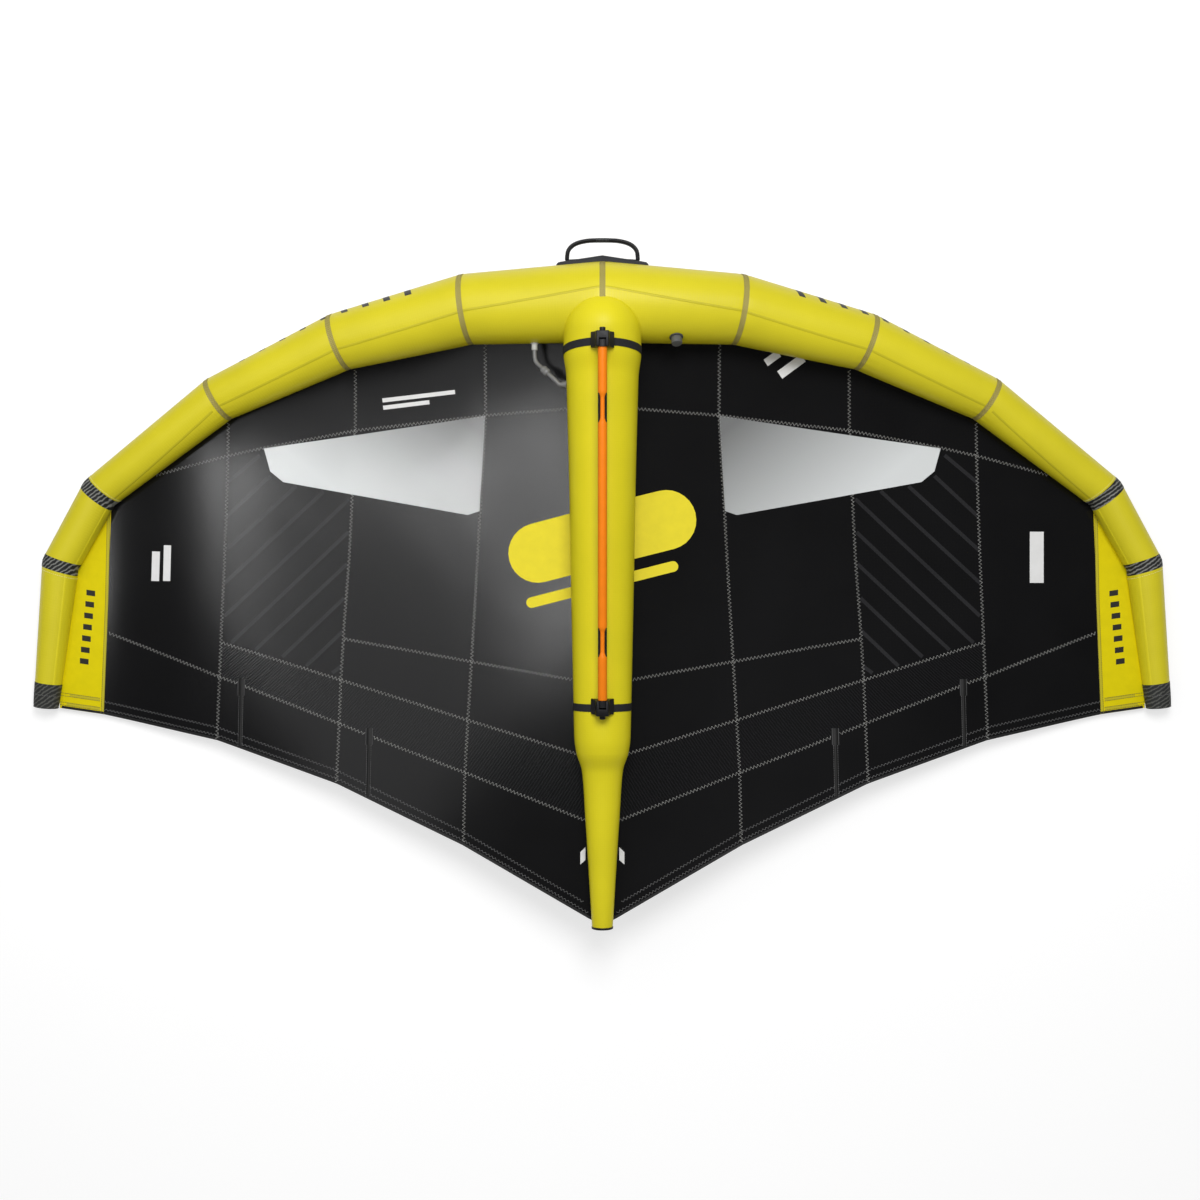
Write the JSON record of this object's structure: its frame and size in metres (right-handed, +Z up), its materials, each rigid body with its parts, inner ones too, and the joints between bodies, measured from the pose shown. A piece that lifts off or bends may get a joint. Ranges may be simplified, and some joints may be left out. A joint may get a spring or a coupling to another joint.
{
  "type": "wingfoil wing",
  "caption": "Inflatable hand-held wing with a mitred leading-edge tube, a centre strut, a sewn canopy with clear windows, a rigid boom on quick-release brackets and a front handle.",
  "frame": {"origin": "on the ground, under the middle of the wing's outline", "axes": "+Z up with the strut side on top, +Y towards the leading edge, +X to the right seen from above"},
  "size_m": [3.6898, 2.1342, 0.5115],
  "materials": {
    "yellow_sailcloth": "satin",
    "dark_sailcloth": "matte",
    "window_film": "gloss",
    "woven_reinforcement": "matte",
    "bladder_film": "satin",
    "moulded_black": "satin",
    "black_webbing": "matte",
    "orange_tube": "satin",
    "grey_hose": "satin",
    "pale_fitting": "satin"
  },
  "bodies": {
    "wing": {"batten_left_inner": "moulded_black", "batten_left_outer": "moulded_black", "batten_right_inner": "moulded_black", "batten_right_outer": "moulded_black", "boom_bracket_front": "moulded_black", "boom_bracket_rear": "moulded_black", "canopy_front_left": "dark_sailcloth", "canopy_front_right": "dark_sailcloth", "canopy_middle_left": "dark_sailcloth", "canopy_middle_right": "dark_sailcloth", "canopy_outer_left": "dark_sailcloth", "canopy_outer_right": "dark_sailcloth", "canopy_quarter_left": "dark_sailcloth", "canopy_quarter_right": "dark_sailcloth", "canopy_rear_left": "dark_sailcloth", "canopy_rear_right": "dark_sailcloth", "connecting_hose": "grey_hose", "elbow_sleeve_left": "woven_reinforcement", "elbow_sleeve_right": "woven_reinforcement", "handle_pad": "woven_reinforcement", "hose_clamp": "grey_hose", "le_bladder": "bladder_film", "le_hose_fitting": "pale_fitting", "le_panel_left_1": "yellow_sailcloth", "le_panel_left_2": "yellow_sailcloth", "le_panel_left_3": "yellow_sailcloth", "le_panel_left_4": "yellow_sailcloth", "le_panel_left_5": "yellow_sailcloth", "le_panel_left_6": "yellow_sailcloth", "le_panel_right_1": "yellow_sailcloth", "le_panel_right_2": "yellow_sailcloth", "le_panel_right_3": "yellow_sailcloth", "le_panel_right_4": "yellow_sailcloth", "le_panel_right_5": "yellow_sailcloth", "le_panel_right_6": "yellow_sailcloth", "strap_front": "black_webbing", "strap_rear": "black_webbing", "strut_bladder": "bladder_film", "strut_casing": "yellow_sailcloth", "strut_end_cap": "moulded_black", "strut_hose_fitting": "pale_fitting", "strut_tail": "yellow_sailcloth", "tip_cap_left": "woven_reinforcement", "tip_cap_right": "woven_reinforcement", "tip_panel_left": "yellow_sailcloth", "tip_panel_right": "yellow_sailcloth", "tip_sleeve_left": "woven_reinforcement", "tip_sleeve_right": "woven_reinforcement", "valve_body": "moulded_black", "window_left": "window_film", "window_right": "window_film"},
    "boom": {"boom_tube": "orange_tube", "boom_grip_front": "moulded_black", "boom_grip_rear": "moulded_black"},
    "button_front": {"release_button_front": "moulded_black"},
    "button_rear": {"release_button_rear": "moulded_black"},
    "valve_cap": {"valve_cap": "moulded_black"},
    "valve_plunger": {"valve_plunger": "pale_fitting"},
    "handle": {"front_handle": "moulded_black"}
  },
  "joints": [
    {"name": "boom_lift", "type": "slide", "parent": "wing", "child": "boom", "axis": [0, -0.0785, 0.9969], "range_m": [0, 0.06]},
    {"name": "button_front_press", "type": "slide", "parent": "wing", "child": "button_front", "axis": [0, -0.9969, -0.0785], "range_m": [0, 0.003], "stiffness_N_per_m": 400},
    {"name": "button_rear_press", "type": "slide", "parent": "wing", "child": "button_rear", "axis": [0, 0.9969, 0.0785], "range_m": [0, 0.003], "stiffness_N_per_m": 400},
    {"name": "valve_cap_turn", "type": "hinge", "parent": "wing", "child": "valve_cap", "pos_m": [0.22648, 0.7572, 0.31817], "axis": [0.0628, -0.9006, 0.4301], "range_deg": [0, 90]},
    {"name": "valve_plunger_press", "type": "slide", "parent": "wing", "child": "valve_plunger", "axis": [-0.0628, 0.9006, -0.4301], "range_m": [0, 0.003], "stiffness_N_per_m": 300},
    {"name": "handle_flex", "type": "hinge", "parent": "wing", "child": "handle", "pos_m": [0, 1.00105, 0.28227], "axis": [1, 0, 0], "range_deg": [-20, 20], "stiffness_Nm_per_rad": 0.8}
  ]
}
